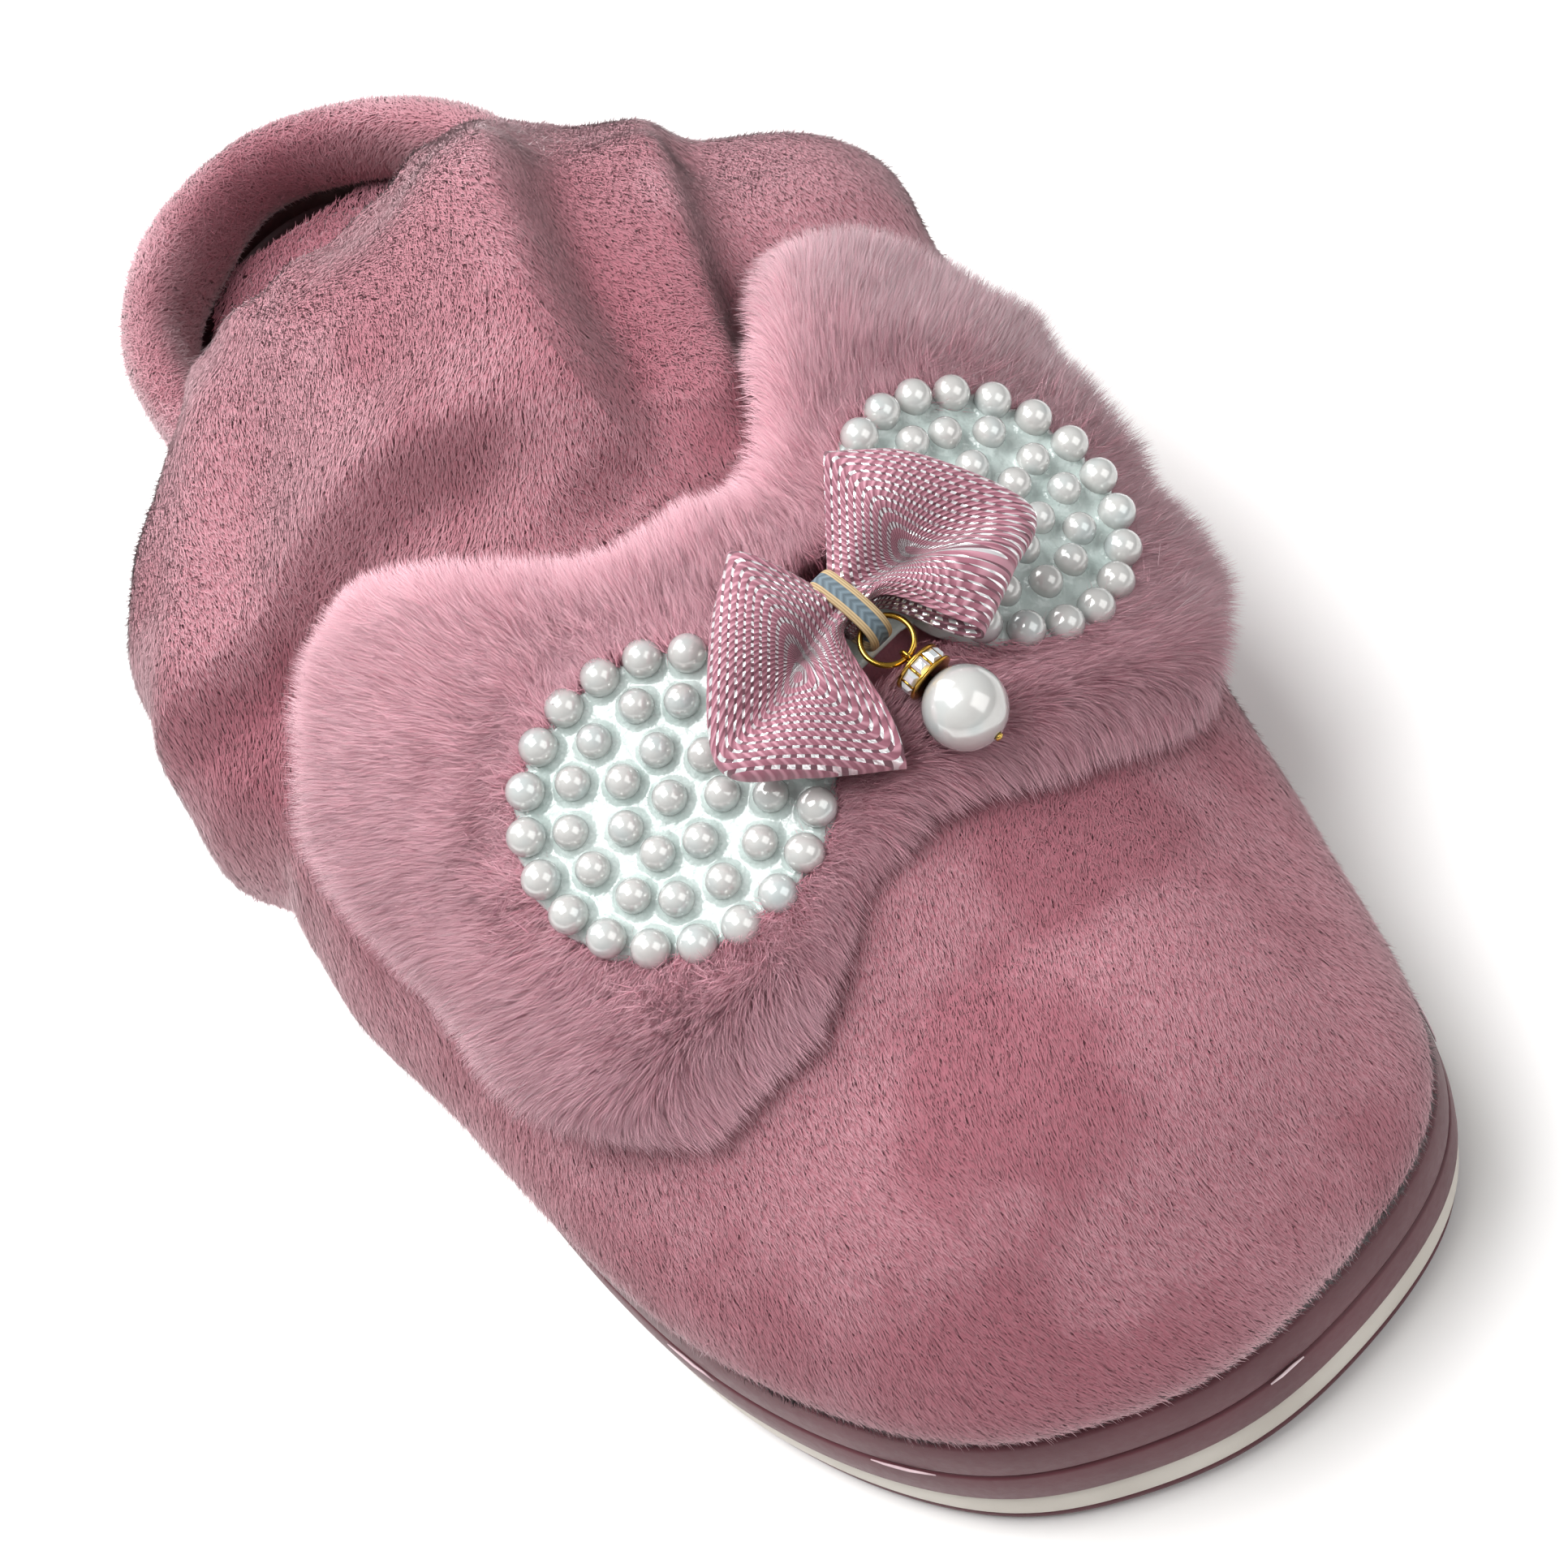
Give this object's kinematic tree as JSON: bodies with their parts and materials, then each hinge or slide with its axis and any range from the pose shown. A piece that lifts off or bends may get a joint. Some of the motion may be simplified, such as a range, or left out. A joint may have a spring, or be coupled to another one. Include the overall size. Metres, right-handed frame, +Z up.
{
  "type": "house slipper",
  "caption": "Plush slip-on house slipper with an open heel rim, a gathered collar, a fur bow, a pearl applique, a ribbon bow and a swinging pearl charm",
  "frame": {"origin": "on the floor, under the middle of the sole's box", "axes": "+Z up, toe towards -Y, heel towards +Y, inner (big-toe) side towards +X"},
  "size_m": [0.1221, 0.262, 0.0789],
  "materials": {
    "mauve_rubber": "satin moulded rubber, mauve",
    "ivory_eva": "ivory foam rubber, matte",
    "insole_board": "pressed fibre board",
    "pale_foam": "open-cell padding foam",
    "pink_plush": "short-pile plush, dusty pink",
    "footbed_plush": "short-pile plush, deeper pink",
    "pink_lining": "brushed knit lining",
    "white_elastic": "woven elastic tape",
    "pink_fur": "long frosted pile fur",
    "backing_cloth": "plain woven backing",
    "pearl_resin": "pearlised beads on milky resin",
    "ribbon": "twill ribbon with silver thread",
    "braided_strap": "flat braid, tan and blue grey",
    "gold_metal": "polished gold plate",
    "crystal": "clear faceted stones",
    "pearl": "pearlised"
  },
  "bodies": {
    "slipper": {"tread": "mauve_rubber", "midsole": "ivory_eva", "foxing_strip": "mauve_rubber", "edge_binding": "mauve_rubber", "insole_board": "insole_board", "footbed_foam": "pale_foam", "footbed_cover": "footbed_plush", "heel_rim_foam": "pale_foam", "heel_rim_cover": "pink_plush", "vamp_plush": "pink_plush", "vamp_foam": "pale_foam", "vamp_lining": "pink_lining", "collar_plush": "pink_plush", "collar_padding": "pale_foam", "collar_elastic": "white_elastic", "collar_lining": "pink_lining", "bow_backing": "backing_cloth", "fur_bow": "pink_fur", "pearl_applique": "pearl_resin", "ribbon_loop_left": "ribbon", "ribbon_loop_right": "ribbon", "tie_strap": "braided_strap"},
    "ring": {"jump_ring": "gold_metal"},
    "pin": {"eye_pin": "gold_metal"},
    "spacer": {"rondelle": "gold_metal", "rondelle_stones": "crystal"},
    "pearl": {"drop_pearl": "pearl"}
  },
  "joints": [
    {"name": "ring_swing", "type": "hinge", "parent": "slipper", "child": "ring", "pos_m": [0.01696, -0.05205, 0.07087], "axis": [-0.9783, -0.2071, -0.0022], "range_deg": [0, 75]},
    {"name": "charm_swing", "type": "hinge", "parent": "ring", "child": "pin", "pos_m": [0.01818, -0.05776, 0.0688], "axis": [-0.9783, -0.2071, -0.0022], "range_deg": [0, 70]},
    {"name": "rondelle_spin", "type": "hinge", "parent": "pin", "child": "spacer", "pos_m": [0.01896, -0.06145, 0.06746], "axis": [0.196, -0.922, -0.3338], "continuous": true},
    {"name": "pearl_spin", "type": "hinge", "parent": "pin", "child": "pearl", "pos_m": [0.01896, -0.06145, 0.06746], "axis": [0.196, -0.922, -0.3338], "continuous": true}
  ]
}
